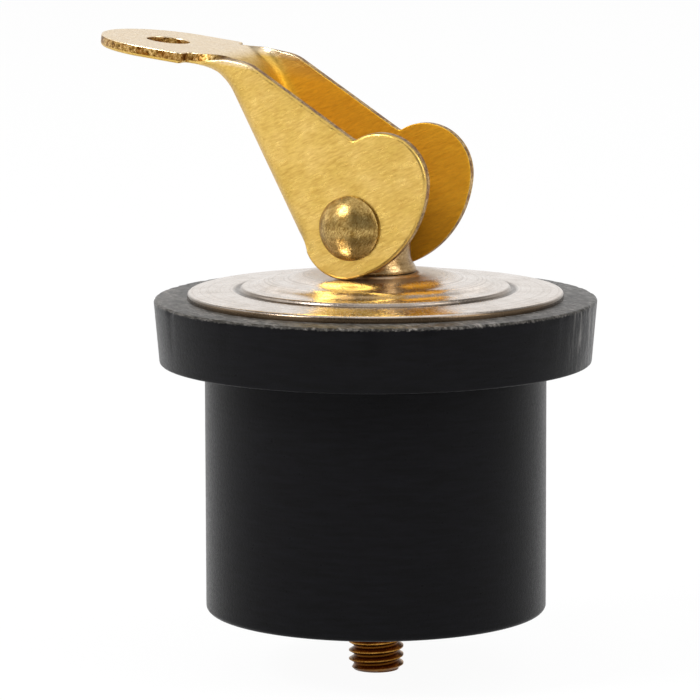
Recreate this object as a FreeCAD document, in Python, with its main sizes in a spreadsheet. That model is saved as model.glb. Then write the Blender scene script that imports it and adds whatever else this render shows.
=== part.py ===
# Expanding rubber drain plug with a snap lever, in millimetres.
#
# The cam lever pulls an eye bolt up through the plug. A nut at the bottom squeezes the rubber
# against the plate under the cams, so that the barrel swells and seals a drain tube.
#
# Frame: origin on the barrel's axis in the plane of the flange's underside, the seat against
# the hull. +Z runs up along the barrel's axis, +Y along the pivot rivet, and the lever leans
# towards -X when it is open.

import FreeCAD, Part
import Sketcher

import math
import os

# Driving dimensions

SIZES = [
    ("barrel_diameter", 31.0, "rubber barrel, for a 31.75 mm drain tube"),
    ("barrel_length", 22.8, "rubber below the flange"),
    ("flange_diameter", 39.2, "flange at its underside"),
    ("flange_thickness", 5.8, "flange height"),
    ("flange_draft", 4.6, "degrees, mould draft of the flange's side"),
    ("barrel_edge", 0.8, "rounding of the barrel's bottom edge"),
    ("bore_clearance", 0.3, "gap round the shank in the rubber"),
    ("shank_diameter", 5.0, "eye bolt's shank, M5 thread size"),
    ("stud_reach", 5.65, "shank below the rubber"),
    ("stud_chamfer", 0.7, "chamfer at the shank's tip"),
    ("post_diameter", 6.4, "eye bolt between the ears"),
    ("foot_diameter", 7.4, "flared foot of the post on the plate"),
    ("foot_flare", 1.0, "height of the flare"),
    ("foot_lip", 0.3, "upright edge under the flare"),
    ("foot_gap", 0.05, "foot above the plate's hub"),
    ("rivet_diameter", 3.0, "rivet's shank"),
    ("rivet_clearance", 0.05, "gap round the rivet's shank"),
    ("rivet_head_diameter", 5.8, "rivet's domed heads"),
    ("rivet_head_height", 1.6, "near head, from the ear"),
    ("rivet_tail_height", 1.3, "far head, closed in the fitting"),
    ("rivet_head_edge", 0.3, "upright edge under each dome"),
    ("plate_diameter", 34.1, "pressure plate"),
    ("plate_thickness", 0.75, "plate's sheet"),
    ("plate_hole_clearance", 0.25, "gap round the shank in the plate"),
    ("plate_rim_radius", 0.4, "rolled outer edge of the plate"),
    ("band_inner_diameter", 25.2, "inner edge of the plate's outer band"),
    ("step_rise", 0.3, "middle step above the band"),
    ("step_run", 0.6, "width of each riser"),
    ("step_inner_diameter", 19.0, "inner edge of the middle step"),
    ("ring_rise", 0.45, "ring above the middle step"),
    ("track_diameter", 13.0, "outer edge of the flat track under the cams"),
    ("track_rise", 0.65, "cam track above the ring"),
    ("hub_diameter", 7.6, "raised hub round the bolt"),
    ("hub_rise", 0.25, "hub above the cam track"),
    ("plate_blend", 0.5, "rounding of the plate's bends"),
    ("nut_flats", 8.0, "hexagon of the anchor nut, across flats"),
    ("nut_height", 8.0, "hexagon above the nut's flange"),
    ("nut_flange_diameter", 15.0, "anchor nut's flange"),
    ("nut_flange_thickness", 1.2, "anchor nut's flange"),
    ("nut_bore_clearance", 0.05, "thread clearance, shown as a plain bore"),
    ("nut_clearance", 0.1, "gap round the nut in the rubber"),
    ("lever_width", 11.0, "over the ears"),
    ("lever_sheet", 1.0, "lever's brass sheet"),
    ("lever_lean", 27.8, "degrees, lever's back from the vertical"),
    ("back_offset", 4.97, "pivot to the ears' back edge"),
    ("web_offset", 5.4, "pivot to the outside of the web"),
    ("heel_x", -0.74, "centre of the round heel, from the pivot"),
    ("heel_z", -0.70, "centre of the round heel, from the pivot"),
    ("lobe_x", 2.94, "centre of the cam lobe, from the pivot"),
    ("lobe_z", 4.21, "centre of the cam lobe, from the pivot"),
    ("lobe_radius", 4.46, "cam lobe"),
    ("flank_radius", 9.55, "cam flank between heel and lobe"),
    ("cam_gap", 0.05, "heel above the cam track, lever open"),
    ("free_slope", 32.2, "degrees, ears' free edge below the horizontal"),
    ("free_offset", 6.78, "pivot to the ears' free edge"),
    ("notch_radius", 0.6, "hollow between free edge and lobe"),
    ("hump_radius", 4.0, "rounding where the free edge meets the tab"),
    ("web_start", 2.5, "web's lower end, along the back from the pivot's foot"),
    ("fold_radius", 2.0, "outside corner of the folded sheet"),
    ("rim_radius", 0.3, "rounded rim of the ears"),
    ("fold_overlap", 0.1, "folded corner beyond the ears' rim"),
    ("bend_radius", 5.0, "underside of the bend from web to tab"),
    ("tab_slope", 7.1, "degrees, tab above the horizontal"),
    ("tab_height", 13.1, "pivot to the tab's top face"),
    ("tab_width", 13.0, "tab's shoulders and its round end"),
    ("tab_reach", 4.6, "bend to the centre of the round end"),
    ("lanyard_diameter", 4.0, "hole in the tab"),
    ("lanyard_reach", 5.0, "bend to the centre of the hole"),
    ("cut_margin", 3.0, "how far cuts run past the solid"),
]


class Size:
    """A number with the spreadsheet expression that gives it."""

    def __init__(self, text, number):
        self.text = text
        self.number = number

    def joined(self, sign, other, number):
        return Size("({} {} {})".format(self.text, sign, as_size(other).text), number)

    def __add__(self, other):
        return self.joined("+", other, self.number + as_size(other).number)

    def __sub__(self, other):
        return self.joined("-", other, self.number - as_size(other).number)

    def __mul__(self, other):
        return self.joined("*", other, self.number * as_size(other).number)

    def __truediv__(self, other):
        return self.joined("/", other, self.number / as_size(other).number)

    def __neg__(self):
        return Size("(0 - {})".format(self.text), -self.number)


def as_size(value):
    return value if isinstance(value, Size) else Size(str(value), float(value))


def cosine(angle):
    return Size("cos({} * 1deg)".format(angle.text), math.cos(math.radians(angle.number)))


def sine(angle):
    return Size("sin({} * 1deg)".format(angle.text), math.sin(math.radians(angle.number)))


def hypotenuse(one, other):
    square = one * one + other * other
    return Size("sqrt({})".format(square.text), math.sqrt(square.number))


# Document and spreadsheet

doc = FreeCAD.newDocument("DrainPlug")
sheet = doc.addObject("Spreadsheet::Sheet", "Sizes")
for row, (name, number, meaning) in enumerate(SIZES, start=1):
    sheet.set("A{}".format(row), meaning)
    sheet.set("B{}".format(row), str(number))
    sheet.setAlias("B{}".format(row), name)
doc.recompute()

size = {name: Size("Sizes." + name, number) for name, number, meaning in SIZES}


def half(name):
    return size[name] / 2


# Heights and stations that several pieces share

flange_top = size["flange_thickness"]
barrel_bottom = -size["barrel_length"]
band_top = size["plate_thickness"]
step_top = band_top + size["step_rise"]
ring_top = step_top + size["ring_rise"]
track_top = ring_top + size["track_rise"]
hub_top = track_top + size["hub_rise"]
bore_radius = half("shank_diameter") + size["bore_clearance"]

# The heel touches the ears' back edge, so its radius follows from its centre.
heel_radius = (
    size["back_offset"]
    + size["heel_x"] * cosine(size["lever_lean"])
    + size["heel_z"] * sine(size["lever_lean"])
)
pivot_height = flange_top + track_top + size["cam_gap"] + heel_radius - size["heel_z"]

# The bend from web to tab: its angle, and how far it starts along the web from the foot of
# the perpendicular from the pivot; then the pivot to the tab's root along the tab.
bend_angle = Size("(90 - Sizes.tab_slope - Sizes.lever_lean)",
                  90 - size["tab_slope"].number - size["lever_lean"].number)
bend_axis_offset = size["web_offset"] + size["bend_radius"]
under_tab = size["tab_height"] - size["lever_sheet"] - size["bend_radius"]
bend_station = (under_tab + bend_axis_offset * cosine(bend_angle)) / sine(bend_angle)
tab_root = bend_axis_offset * sine(bend_angle) + bend_station * cosine(bend_angle)


# Sketch helpers

ORIGIN = (-1, 1)
X_AXIS = -1
Y_AXIS = -2
START, END, CENTRE = 1, 2, 3
NEAR = 1e-4


def new_body(label, height=None):
    body = doc.addObject("PartDesign::Body", label)
    body.Label = label
    if height is not None:
        body.setExpression("Placement.Base.z", height.text)
    return body


def plane(body, role):
    return next(item for item in body.Origin.OriginFeatures if item.Role == role)


def new_sketch(body, role, name):
    sketch = body.newObject("Sketcher::SketchObject", name)
    sketch.AttachmentSupport = [(plane(body, role), "")]
    sketch.MapMode = "FlatFace"
    return sketch


def tilt_sketch(sketch, angle, offset_x, offset_z):
    """Turn a sketch on the XY plane about +Y by an angle, and move it off the origin."""
    turn = FreeCAD.Rotation(FreeCAD.Vector(0, 1, 0), angle.number)
    base = FreeCAD.Vector(offset_x.number, 0, offset_z.number)
    sketch.AttachmentOffset = FreeCAD.Placement(base, turn)
    sketch.setExpression("AttachmentOffset.Rotation.Angle", angle.text + " * 1deg")
    sketch.setExpression("AttachmentOffset.Base.x", offset_x.text)
    sketch.setExpression("AttachmentOffset.Base.z", offset_z.text)


def dimension(sketch, kind, where, value):
    number = sketch.addConstraint(Sketcher.Constraint(kind, *where, value.number))
    sketch.setExpression("Constraints[{}]".format(number), value.text)


def slope(sketch, line, angle):
    radians = math.radians(angle.number)
    number = sketch.addConstraint(Sketcher.Constraint("Angle", line, radians))
    sketch.setExpression("Constraints[{}]".format(number), angle.text + " * 1deg")


def place(sketch, geometry, point, x, y):
    """Fix a point by its distances from the origin, or on an axis where one is zero."""
    for value, kind, axis in ((x, "DistanceX", Y_AXIS), (y, "DistanceY", X_AXIS)):
        if as_size(value).number == 0:
            sketch.addConstraint(Sketcher.Constraint("PointOnObject", geometry, point, axis))
        else:
            dimension(sketch, kind, (*ORIGIN, geometry, point), value)


def vector(x, y):
    return FreeCAD.Vector(as_size(x).number, as_size(y).number, 0)


def polygon(sketch, corners):
    """A closed outline of straight lines between corners given as pairs of sizes."""
    ends = [vector(x, y) for x, y in corners]
    count = len(corners)
    lines = [sketch.addGeometry(Part.LineSegment(ends[i], ends[(i + 1) % count]), False)
             for i in range(count)]
    for i, (x, y) in enumerate(corners):
        follower = lines[i]
        sketch.addConstraint(Sketcher.Constraint("Coincident", lines[i - 1], END, follower, START))
        place(sketch, follower, START, x, y)
    return lines


def circle(sketch, x, y, radius):
    geometry = sketch.addGeometry(Part.Circle(vector(x, y), FreeCAD.Vector(0, 0, 1), radius.number))
    dimension(sketch, "Radius", (geometry,), radius)
    if as_size(x).number == 0 and as_size(y).number == 0:
        sketch.addConstraint(Sketcher.Constraint("Coincident", geometry, CENTRE, *ORIGIN))
    else:
        place(sketch, geometry, CENTRE, x, y)
    return geometry


def arc(centre, radius, start, end):
    """An arc that runs anticlockwise from one point to another."""
    angles = [math.atan2(point.y - centre.y, point.x - centre.x) for point in (start, end)]
    full = Part.Circle(centre, FreeCAD.Vector(0, 0, 1), radius)
    return Part.ArcOfCircle(full, *angles)


def chain(sketch, pieces, corners):
    """Join pieces end to end in a ring; where a joint isn't a corner, they are tangent."""
    numbers = [sketch.addGeometry(piece, False) for piece in pieces]
    for i, piece in enumerate(pieces):
        follower = (i + 1) % len(pieces)
        ends = ((START, piece.StartPoint), (END, piece.EndPoint))
        others = ((START, pieces[follower].StartPoint), (END, pieces[follower].EndPoint))
        pairs = [((a[1] - b[1]).Length, a[0], b[0]) for a in ends for b in others]
        end, start = min(pairs)[1:]
        kind = "Coincident" if i in corners else "Tangent"
        where = (numbers[i], end, numbers[follower], start)
        sketch.addConstraint(Sketcher.Constraint(kind, *where))
    return numbers


def line(start, end):
    return Part.LineSegment(start, end)


# Feature helpers

def pad(body, sketch, length, name, symmetric=False, down=False):
    feature = body.newObject("PartDesign::Pad", name)
    feature.Profile = sketch
    feature.setExpression("Length", length.text)
    feature.SideType = "Symmetric" if symmetric else "One side"
    feature.Reversed = down
    return feature


def pocket(body, sketch, name, length=None, symmetric=True, down=True):
    feature = body.newObject("PartDesign::Pocket", name)
    feature.Profile = sketch
    feature.SideType = "Symmetric" if symmetric else "One side"
    feature.Reversed = not down
    if length is None:
        feature.Type = "ThroughAll"
    else:
        feature.setExpression("Length", length.text)
    return feature


def revolve(body, sketch, name):
    feature = body.newObject("PartDesign::Revolution", name)
    feature.Profile = sketch
    feature.ReferenceAxis = (sketch, ["V_Axis"])
    return feature


def round_edges(body, base, name, radius, chosen):
    """Fillet the edges of a feature for which chosen(edge) holds."""
    doc.recompute()
    names = ["Edge{}".format(number) for number, edge in enumerate(base.Shape.Edges, start=1)
             if chosen(edge)]
    feature = body.newObject("PartDesign::Fillet", name)
    feature.Base = (base, names)
    feature.setExpression("Radius", radius.text)
    return feature


def circle_at(edge, radius, height):
    """True for a whole circle about the Z axis at this radius and height."""
    curve = edge.Curve
    if not isinstance(curve, Part.Circle):
        return False
    on_axis = math.hypot(curve.Center.x, curve.Center.y) < NEAR
    right_size = abs(curve.Radius - radius.number) < NEAR
    return on_axis and right_size and abs(curve.Center.z - height.number) < NEAR


# Rubber plug

def make_rubber_plug():
    body = new_body("rubber_plug")
    flange = half("flange_diameter")
    barrel = half("barrel_diameter")
    draft = size["flange_draft"]
    spread = size["flange_thickness"] * Size("tan({} * 1deg)".format(draft.text),
                                             math.tan(math.radians(draft.number)))
    section = new_sketch(body, "XZ_Plane", "PlugSection")
    polygon(section, [
        (bore_radius, barrel_bottom),
        (barrel, barrel_bottom),
        (barrel, 0),
        (flange, 0),
        (flange + spread, flange_top),
        (bore_radius, flange_top),
    ])
    revolve(body, section, "PlugTurned")

    recess = new_sketch(body, "XY_Plane", "NutRecess")
    recess.setExpression("AttachmentOffset.Base.z", barrel_bottom.text)
    circle(recess, 0, 0, half("nut_flange_diameter") + size["nut_clearance"])
    pocket(body, recess, "NutRecessCut", size["nut_flange_thickness"] + size["nut_clearance"],
           symmetric=False, down=False)

    hexagon = new_sketch(body, "XY_Plane", "NutSocket")
    hexagon.setExpression("AttachmentOffset.Base.z", barrel_bottom.text)
    hexagon_outline(hexagon, half("nut_flats") + size["nut_clearance"])
    height = size["nut_flange_thickness"] + size["nut_height"] + size["nut_clearance"]
    socket = pocket(body, hexagon, "NutSocketCut", height, symmetric=False, down=False)

    round_edges(body, socket, "BarrelEdge", size["barrel_edge"],
                lambda item: circle_at(item, barrel, barrel_bottom))
    return body


def hexagon_outline(sketch, inscribed):
    """A regular hexagon about the origin, given the radius inside its flats."""
    corner = inscribed * 2 / math.sqrt(3)
    side = corner / 2
    polygon(sketch, [
        (corner, 0),
        (side, inscribed),
        (-side, inscribed),
        (-corner, 0),
        (-side, -inscribed),
        (side, -inscribed),
    ])


# Anchor nut

def make_anchor_nut():
    body = new_body("anchor_nut", barrel_bottom)
    disc = new_sketch(body, "XY_Plane", "NutDisc")
    circle(disc, 0, 0, half("nut_flange_diameter"))
    pad(body, disc, size["nut_flange_thickness"], "NutFlange")

    hexagon = new_sketch(body, "XY_Plane", "NutHexagon")
    hexagon_outline(hexagon, half("nut_flats"))
    pad(body, hexagon, size["nut_flange_thickness"] + size["nut_height"], "NutBarrel")

    bore = new_sketch(body, "XY_Plane", "NutBore")
    circle(bore, 0, 0, half("shank_diameter") + size["nut_bore_clearance"])
    pocket(body, bore, "NutBoreCut")
    return body


# Pressure plate

def make_pressure_plate():
    body = new_body("pressure_plate", flange_top)
    sheet_below = size["plate_thickness"]
    run = size["step_run"]
    bends = [
        (half("hub_diameter"), hub_top),
        (half("hub_diameter") + run, track_top),
        (half("track_diameter"), track_top),
        (half("step_inner_diameter") - run, ring_top),
        (half("step_inner_diameter"), step_top),
        (half("band_inner_diameter") - run, step_top),
        (half("band_inner_diameter"), band_top),
    ]
    hole = half("shank_diameter") + size["plate_hole_clearance"]
    rim = half("plate_diameter")
    top = [(hole, hub_top)] + bends + [(rim, band_top)]
    bottom = [(radius, height - sheet_below) for radius, height in bends[:-1]]
    corners = top + [(rim, 0), (bends[-1][0], 0)] + bottom[::-1] + [(hole, hub_top - sheet_below)]
    section = new_sketch(body, "XZ_Plane", "PlateSection")
    polygon(section, corners)
    turned = revolve(body, section, "PlateTurned")
    rolled = round_edges(body, turned, "PlateRim", size["plate_rim_radius"],
                         lambda item: circle_at(item, rim, band_top))
    round_edges(body, rolled, "PlateBends", size["plate_blend"],
                lambda item: any(circle_at(item, radius, height) for radius, height in bends))
    return body


# Eye bolt

def make_eye_bolt():
    body = new_body("eye_bolt", pivot_height)
    post = half("post_diameter")
    foot = half("foot_diameter")
    shank = half("shank_diameter")
    foot_bottom = flange_top + hub_top + size["foot_gap"] - pivot_height
    lip_top = foot_bottom + size["foot_lip"]
    flare_top = lip_top + size["foot_flare"]
    tip = barrel_bottom - size["stud_reach"] - pivot_height
    chamfer = size["stud_chamfer"]

    section = new_sketch(body, "XZ_Plane", "BoltSection")
    crown = arc(vector(0, 0), post.number, vector(post, 0), vector(0, post))
    pieces = [
        line(vector(0, tip), vector(shank - chamfer, tip)),
        line(vector(shank - chamfer, tip), vector(shank, tip + chamfer)),
        line(vector(shank, tip + chamfer), vector(shank, foot_bottom)),
        line(vector(shank, foot_bottom), vector(foot, foot_bottom)),
        line(vector(foot, foot_bottom), vector(foot, lip_top)),
        line(vector(foot, lip_top), vector(post, flare_top)),
        line(vector(post, flare_top), vector(post, 0)),
        crown,
        line(vector(0, post), vector(0, tip)),
    ]
    numbers = chain(section, pieces, corners=(0, 1, 2, 3, 4, 5, 7, 8))
    starts = [(0, tip), (shank - chamfer, tip), (shank, tip + chamfer), (shank, foot_bottom),
              (foot, foot_bottom), (foot, lip_top), (post, flare_top)]
    for number, (x, y) in zip(numbers, starts):
        place(section, number, START, x, y)
    section.addConstraint(Sketcher.Constraint("Coincident", numbers[7], CENTRE, *ORIGIN))
    section.addConstraint(Sketcher.Constraint("PointOnObject", numbers[7], END, Y_AXIS))
    section.addConstraint(Sketcher.Constraint("Vertical", numbers[6]))
    revolve(body, section, "BoltTurned")

    eye = new_sketch(body, "XZ_Plane", "EyeHole")
    circle(eye, 0, 0, half("rivet_diameter") + size["rivet_clearance"])
    pocket(body, eye, "EyeHoleCut")
    return body


# Pivot rivet

def make_pivot_rivet():
    body = new_body("pivot_rivet", pivot_height)
    shank = half("rivet_diameter")
    head = half("rivet_head_diameter")
    edge = size["rivet_head_edge"]
    ear = half("lever_width")
    near = -(ear + size["rivet_head_height"])
    far = ear + size["rivet_tail_height"]

    section = new_sketch(body, "XY_Plane", "RivetSection")
    dome_near = dome(vector(0, near), vector(head, -(ear + edge)))
    dome_far = dome(vector(0, far), vector(head, ear + edge))
    pieces = [
        arc(*dome_near, vector(0, near), vector(head, -(ear + edge))),
        line(vector(head, -(ear + edge)), vector(head, -ear)),
        line(vector(head, -ear), vector(shank, -ear)),
        line(vector(shank, -ear), vector(shank, ear)),
        line(vector(shank, ear), vector(head, ear)),
        line(vector(head, ear), vector(head, ear + edge)),
        arc(*dome_far, vector(head, ear + edge), vector(0, far)),
        line(vector(0, far), vector(0, near)),
    ]
    numbers = chain(section, pieces, corners=range(8))
    for number, (x, y) in zip(numbers[1:6], [(head, -(ear + edge)), (head, -ear), (shank, -ear),
                                             (shank, ear), (head, ear)]):
        place(section, number, START, x, y)
    place(section, numbers[6], START, head, ear + edge)
    place(section, numbers[7], START, 0, far)
    place(section, numbers[7], END, 0, near)
    for number in (numbers[0], numbers[6]):
        where = (number, CENTRE, Y_AXIS)
        section.addConstraint(Sketcher.Constraint("PointOnObject", *where))
    revolve(body, section, "RivetTurned")
    return body


def dome(top, edge):
    """Centre and radius of the circle on the Y axis through the top and a side point."""
    rise = abs(top.y - edge.y)
    radius = (edge.x ** 2 + rise ** 2) / (2 * rise)
    towards = 1 if edge.y > top.y else -1
    return FreeCAD.Vector(0, top.y + towards * radius, 0), radius


# Lever

def mm(name):
    return size[name].number


def normal_and_rise(name):
    """Off and up a face that rises towards -X by the named angle, in the side view."""
    angle = math.radians(mm(name))
    normal = FreeCAD.Vector(math.sin(angle), math.cos(angle), 0)
    rise = FreeCAD.Vector(-math.cos(angle), math.sin(angle), 0)
    return normal, rise


# Directions in the side view, and the bend's centre from the pivot
tab_up, tab_out = normal_and_rise("tab_slope")
free_up, free_out = normal_and_rise("free_slope")
lean = math.radians(mm("lever_lean"))
inward = FreeCAD.Vector(math.cos(lean), math.sin(lean), 0)
along = FreeCAD.Vector(-math.sin(lean), math.cos(lean), 0)
bend_centre = along * bend_station.number - inward * bend_axis_offset.number


def meeting_point(direction_one, reach_one, direction_two, reach_two):
    """The point at two given reaches along two directions."""
    cross = direction_one.x * direction_two.y - direction_one.y * direction_two.x
    x = (reach_one * direction_two.y - reach_two * direction_one.y) / cross
    y = (direction_one.x * reach_two - direction_two.x * reach_one) / cross
    return FreeCAD.Vector(x, y, 0)


def third_corner(one, reach_one, other, reach_other):
    """The point at given distances from two others, on the left of the way between them."""
    way = other - one
    span = way.Length
    along = (reach_one ** 2 - reach_other ** 2 + span ** 2) / (2 * span)
    across = math.sqrt(reach_one ** 2 - along ** 2)
    way.normalize()
    left = FreeCAD.Vector(-way.y, way.x, 0)
    return one + way * along + left * across


def towards(start, end, reach):
    way = end - start
    return start + way * (reach / way.Length)


def sketch_ears(body):
    """The ears' outline: heel, flank, lobe, notch, free edge, hump, and back to the fold."""
    heel = FreeCAD.Vector(mm("heel_x"), mm("heel_z"), 0)
    lobe = FreeCAD.Vector(mm("lobe_x"), mm("lobe_z"), 0)
    heel_r, lobe_r, flank_r = heel_radius.number, mm("lobe_radius"), mm("flank_radius")
    flank = third_corner(heel, flank_r - heel_r, lobe, flank_r - lobe_r)
    notch_r = mm("notch_radius")
    notch_rise = mm("free_offset") + notch_r - lobe.dot(free_up)
    notch_run = math.sqrt((lobe_r + notch_r) ** 2 - notch_rise ** 2)
    notch = lobe + free_up * notch_rise + free_out * notch_run
    hump_r = mm("hump_radius")
    hump = meeting_point(free_up, mm("free_offset") - hump_r, tab_up, mm("tab_height") - hump_r)

    heel_back = heel - inward * heel_r
    back_top = along * mm("web_start") - inward * mm("back_offset")
    inset_low = along * mm("web_start") - inward * (mm("web_offset") - mm("fold_radius"))
    inset_r = mm("bend_radius") + mm("fold_radius")
    inset_high = bend_centre + inward * inset_r
    root_rise = mm("bend_radius") + mm("lever_sheet")
    root_run = math.sqrt(inset_r ** 2 - root_rise ** 2)
    root = bend_centre + tab_up * root_rise - tab_out * root_run
    hump_tab = hump + tab_up * hump_r
    hump_free = hump + free_up * hump_r
    notch_free = notch - free_up * notch_r
    notch_lobe = towards(notch, lobe, notch_r)
    lobe_flank = towards(flank, lobe, flank_r)
    flank_heel = towards(flank, heel, flank_r)

    pieces = [
        line(heel_back, back_top),
        line(back_top, inset_low),
        line(inset_low, inset_high),
        arc(bend_centre, inset_r, inset_high, root),
        line(hump_tab, root),
        arc(hump, hump_r, hump_free, hump_tab),
        line(notch_free, hump_free),
        arc(notch, notch_r, notch_free, notch_lobe),
        arc(lobe, lobe_r, lobe_flank, notch_lobe),
        arc(flank, flank_r, flank_heel, lobe_flank),
        arc(heel, heel_r, heel_back, flank_heel),
    ]
    sketch = new_sketch(body, "XZ_Plane", "EarOutline")
    back, step, inset, inset_arc, top, hump_arc, free, notch_arc, lobe_arc, flank_arc, heel_arc = \
        chain(sketch, pieces, corners=(0, 1, 3))

    slope(sketch, back, size["lever_lean"] + 90)
    dimension(sketch, "Distance", (*ORIGIN, back), size["back_offset"])
    back_reach = hypotenuse(size["back_offset"], size["web_start"])
    dimension(sketch, "Distance", (*ORIGIN, step, START), back_reach)
    sketch.addConstraint(Sketcher.Constraint("Perpendicular", step, back))
    inset_offset = size["web_offset"] - size["fold_radius"]
    dimension(sketch, "Distance", (step,), size["back_offset"] - inset_offset)
    sketch.addConstraint(Sketcher.Constraint("Parallel", inset, back))
    dimension(sketch, "Radius", (inset_arc,), size["bend_radius"] + size["fold_radius"])
    root_offset = size["bend_radius"] + size["lever_sheet"]
    dimension(sketch, "Distance", (inset_arc, CENTRE, top), root_offset)
    slope(sketch, top, -size["tab_slope"] + 180)
    dimension(sketch, "Distance", (*ORIGIN, top), size["tab_height"])
    dimension(sketch, "Radius", (hump_arc,), size["hump_radius"])
    slope(sketch, free, -size["free_slope"] + 180)
    dimension(sketch, "Distance", (*ORIGIN, free), size["free_offset"])
    dimension(sketch, "Radius", (notch_arc,), size["notch_radius"])
    dimension(sketch, "Radius", (lobe_arc,), size["lobe_radius"])
    place(sketch, lobe_arc, CENTRE, size["lobe_x"], size["lobe_z"])
    dimension(sketch, "Radius", (flank_arc,), size["flank_radius"])
    place(sketch, heel_arc, CENTRE, size["heel_x"], size["heel_z"])
    return sketch


def sketch_fold(body, name, outside, side, corner, depth):
    """A slice across the lever where the bend starts, for the sheet or for its hollow side.

    It reaches from the given distance behind the pivot by its depth; its back corners are round.
    """
    sketch = new_sketch(body, "XY_Plane", name)
    lean = size["lever_lean"]
    tilt_sketch(sketch, -lean, -(bend_station * sine(lean)), bend_station * cosine(lean))
    back = -outside
    front = back + depth
    round_x = back + corner
    round_y = side - corner
    pieces = [
        line(vector(front, -side), vector(front, side)),
        line(vector(front, side), vector(round_x, side)),
        arc(vector(round_x, round_y), corner.number, vector(round_x, side), vector(back, round_y)),
        line(vector(back, round_y), vector(back, -round_y)),
        arc(vector(round_x, -round_y), corner.number, vector(back, -round_y),
            vector(round_x, -side)),
        line(vector(round_x, -side), vector(front, -side)),
    ]
    inner, left, left_round, outer, right_round, right = chain(sketch, pieces, corners=(0, 5))
    place(sketch, inner, START, front, -side)
    place(sketch, inner, END, front, side)
    for number in (left, right):
        sketch.addConstraint(Sketcher.Constraint("Horizontal", number))
    sketch.addConstraint(Sketcher.Constraint("Vertical", outer))
    for number in (left_round, right_round):
        dimension(sketch, "Radius", (number,), corner)
    dimension(sketch, "DistanceX", (*ORIGIN, outer, START), back)
    axis_x = -bend_axis_offset
    axis = sketch.addGeometry(line(vector(axis_x, -side), vector(axis_x, side)), True)
    place(sketch, axis, START, axis_x, -side)
    place(sketch, axis, END, axis_x, side)
    return sketch


def sketch_channel(body):
    """What is cut out between the ears, down to where their corners with the web begin."""
    raised = mm("fold_radius")
    margin = mm("cut_margin")
    web_end = along * mm("web_start") - inward * (mm("web_offset") - raised)
    outside = web_end - inward * (raised + margin)
    inner_r = mm("bend_radius") + raised
    inner_high = bend_centre + inward * inner_r
    root = bend_centre + tab_up * inner_r
    above = root + FreeCAD.Vector(0, margin, 0)
    right = mm("lobe_x") + mm("lobe_radius") + margin
    low = mm("heel_z") - heel_radius.number - margin
    pieces = [
        line(outside, web_end),
        line(web_end, inner_high),
        arc(bend_centre, inner_r, inner_high, root),
        line(root, above),
        line(above, FreeCAD.Vector(right, above.y, 0)),
        line(FreeCAD.Vector(right, above.y, 0), FreeCAD.Vector(right, low, 0)),
        line(FreeCAD.Vector(right, low, 0), FreeCAD.Vector(outside.x, low, 0)),
        line(FreeCAD.Vector(outside.x, low, 0), outside),
    ]
    sketch = new_sketch(body, "XZ_Plane", "Channel")
    end, web, bend_arc, rise, lid, side, floor, left = chain(sketch, pieces,
                                                            corners=(0, 2, 3, 4, 5, 6, 7))
    slope(sketch, web, size["lever_lean"] + 90)
    inner_offset = size["web_offset"] - size["fold_radius"]
    dimension(sketch, "Distance", (*ORIGIN, web), inner_offset)
    dimension(sketch, "Distance", (*ORIGIN, web, START),
              hypotenuse(inner_offset, size["web_start"]))
    sketch.addConstraint(Sketcher.Constraint("Perpendicular", end, web))
    dimension(sketch, "Distance", (end,), size["fold_radius"] + size["cut_margin"])
    dimension(sketch, "Radius", (bend_arc,), size["bend_radius"] + size["fold_radius"])
    tab_top = sketch.addGeometry(line(root - tab_out * margin, root), True)
    sketch.addConstraint(Sketcher.Constraint("Tangent", tab_top, END, bend_arc, END))
    slope(sketch, tab_top, -size["tab_slope"] + 180)
    above_tab = size["tab_height"] + size["fold_radius"] - size["lever_sheet"]
    dimension(sketch, "Distance", (*ORIGIN, tab_top), above_tab)
    dimension(sketch, "Distance", (tab_top,), size["cut_margin"])
    for number in (rise, side, left):
        sketch.addConstraint(Sketcher.Constraint("Vertical", number))
    for number in (lid, floor):
        sketch.addConstraint(Sketcher.Constraint("Horizontal", number))
    dimension(sketch, "Distance", (rise,), size["cut_margin"])
    dimension(sketch, "DistanceX", (*ORIGIN, side, END),
              size["lobe_x"] + size["lobe_radius"] + size["cut_margin"])
    dimension(sketch, "DistanceY", (*ORIGIN, side, END),
              size["heel_z"] - heel_radius - size["cut_margin"])
    return sketch


def tab_sketch(body, name):
    """A sketch in the plane of the tab's top face, with x running back along the tab."""
    sketch = new_sketch(body, "XY_Plane", name)
    tilt = size["tab_slope"]
    tilt_sketch(sketch, tilt, size["tab_height"] * sine(tilt), size["tab_height"] * cosine(tilt))
    return sketch


def sketch_tab(body):
    """The tab's plan: square shoulders at the bend, straight sides and a round end."""
    sketch = tab_sketch(body, "TabOutline")
    root_x = -tab_root
    centre_x = root_x - size["tab_reach"]
    side = half("tab_width")
    pieces = [
        line(vector(root_x, -side), vector(root_x, side)),
        line(vector(root_x, side), vector(centre_x, side)),
        arc(vector(centre_x, 0), side.number, vector(centre_x, side), vector(centre_x, -side)),
        line(vector(centre_x, -side), vector(root_x, -side)),
    ]
    shoulders, far, end, near = chain(sketch, pieces, corners=(0, 3))
    place(sketch, shoulders, START, root_x, -side)
    place(sketch, shoulders, END, root_x, side)
    for number in (far, near):
        sketch.addConstraint(Sketcher.Constraint("Horizontal", number))
    dimension(sketch, "DistanceX", (*ORIGIN, end, CENTRE), centre_x)
    return sketch


def sketch_above_tab(body):
    """The strip above the tab's top face, where the folded corners would stand proud."""
    sketch = tab_sketch(body, "AboveTab")
    side = half("lever_width") + size["cut_margin"]
    left = -tab_root
    right = -tab_root + size["hump_radius"]
    polygon(sketch, [(left, -side), (right, -side), (right, side), (left, side)])
    return sketch


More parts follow.
